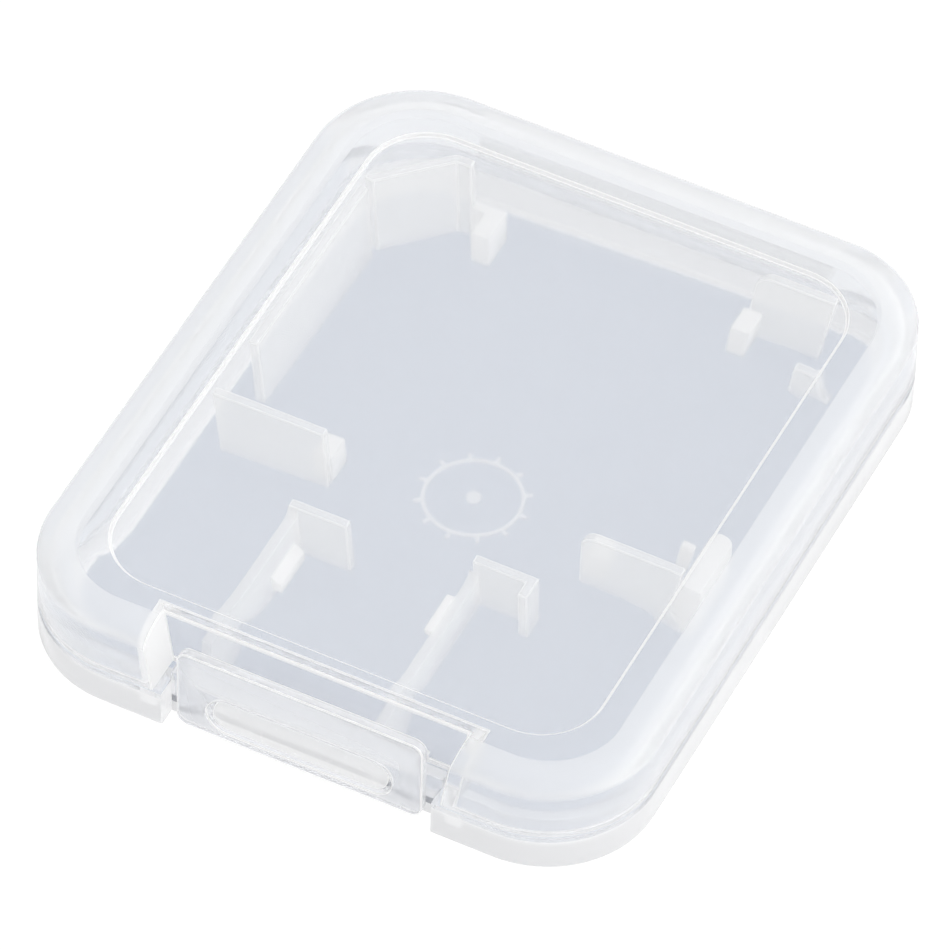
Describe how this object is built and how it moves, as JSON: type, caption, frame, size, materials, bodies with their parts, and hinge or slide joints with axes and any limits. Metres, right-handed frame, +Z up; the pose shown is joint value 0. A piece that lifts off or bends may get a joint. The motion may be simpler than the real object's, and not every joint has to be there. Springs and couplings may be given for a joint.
{
  "type": "memory card case",
  "caption": "Flat clear plastic case with a hinged lid, a sprung front latch and bays for a full-size memory card and a small one.",
  "frame": {"origin": "centre of the case's outline seen from above, on the underside of the base", "axes": "+X to the right along the front edge, +Y from the latch to the hinge side, +Z up; the case is closed"},
  "size_m": [0.0418, 0.0512, 0.0074],
  "materials": {
    "base_floor_plastic": "gloss",
    "base_rim_plastic": "gloss",
    "card_wall_plastic": "satin",
    "mark_plastic": "gloss",
    "lid_panel_plastic": "gloss",
    "lid_shell_plastic": "gloss",
    "latch_plastic": "gloss"
  },
  "bodies": {
    "base": {"base_floor": "base_floor_plastic", "base_rim": "base_rim_plastic", "base_lip": "base_rim_plastic", "base_latch_wall": "base_rim_plastic", "latch_lug": "base_rim_plastic", "base_hinge_strip": "base_rim_plastic", "hinge_film": "base_rim_plastic", "card_stop_left": "card_wall_plastic", "card_stop_right": "card_wall_plastic", "card_side_wall_left": "card_wall_plastic", "card_side_block_right": "card_wall_plastic", "card_corner_wall": "card_wall_plastic", "card_rear_wall_right": "card_wall_plastic", "card_ledge_front_left": "card_wall_plastic", "card_ledge_front_right": "card_wall_plastic", "card_ledge_rear_left": "card_wall_plastic", "card_ledge_rear_right": "card_wall_plastic", "card_peg_right": "card_wall_plastic", "card_rib_right": "card_wall_plastic", "small_card_left_wall": "card_wall_plastic", "small_card_left_pad": "card_wall_plastic", "small_card_rail": "card_wall_plastic", "small_card_rail_pad": "card_wall_plastic", "small_card_rear_wall_left": "card_wall_plastic", "small_card_rear_wall_right": "card_wall_plastic", "mould_mark": "mark_plastic"},
    "lid": {"lid_top": "lid_shell_plastic", "lid_panel": "lid_panel_plastic", "lid_skirt": "lid_shell_plastic", "lid_latch_wall": "lid_shell_plastic", "lid_cheek_left": "lid_shell_plastic", "lid_cheek_right": "lid_shell_plastic"},
    "latch": {"latch_web": "latch_plastic", "latch_tab": "latch_plastic"}
  },
  "joints": [
    {"name": "lid_hinge", "type": "hinge", "parent": "base", "child": "lid", "pos_m": [0, 0.02595, 0.0037], "axis": [-1, 0, 0], "range_deg": [0, 180], "deforming": ["hinge_film"]},
    {"name": "latch_flex", "type": "hinge", "parent": "lid", "child": "latch", "pos_m": [0, -0.02348, 0.00404], "axis": [-1, 0, 0], "range_deg": [0, 16], "stiffness_Nm_per_rad": 0.06, "deforming": ["latch_web"]}
  ]
}
